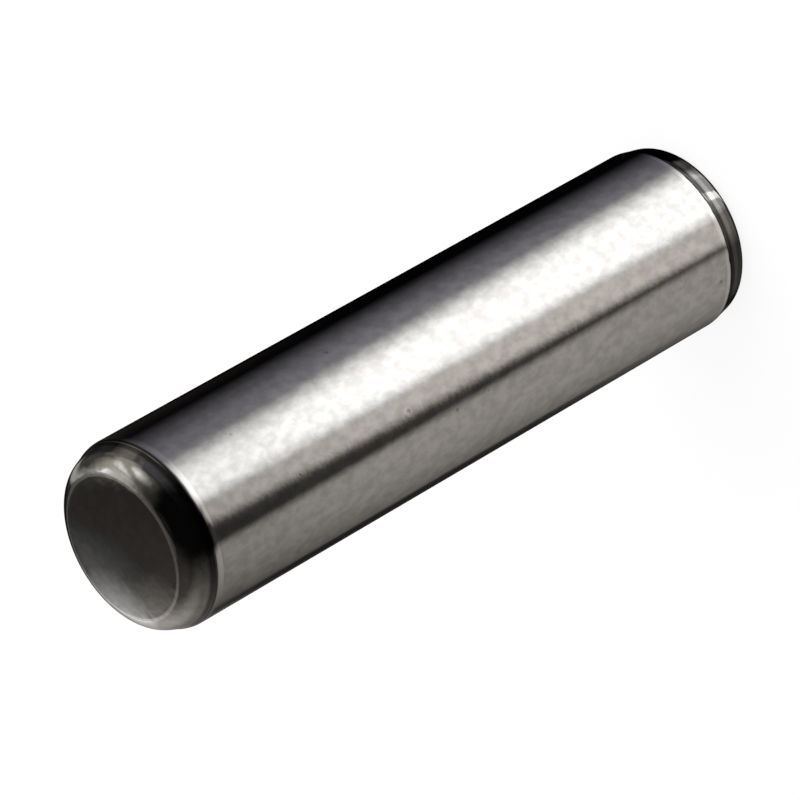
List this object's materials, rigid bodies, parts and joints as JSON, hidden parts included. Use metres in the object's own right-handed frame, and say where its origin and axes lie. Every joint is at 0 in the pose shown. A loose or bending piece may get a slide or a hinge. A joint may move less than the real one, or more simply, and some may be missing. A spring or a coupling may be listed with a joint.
{
  "type": "dowel pin",
  "caption": "Hardened and ground cylindrical dowel pin with a flat end, a crowned end and a short unground lead at each end.",
  "frame": {"origin": "middle of the flat end face, on which the pin stands", "axes": "+Z along the pin's axis, from the flat end to the crowned end"},
  "size_m": [0.01, 0.01, 0.04],
  "materials": {
    "steel": "fine ground body, with dark hardened ends left unground"
  },
  "bodies": {
    "root": {"dowel_pin": "steel"}
  },
  "joints": []
}
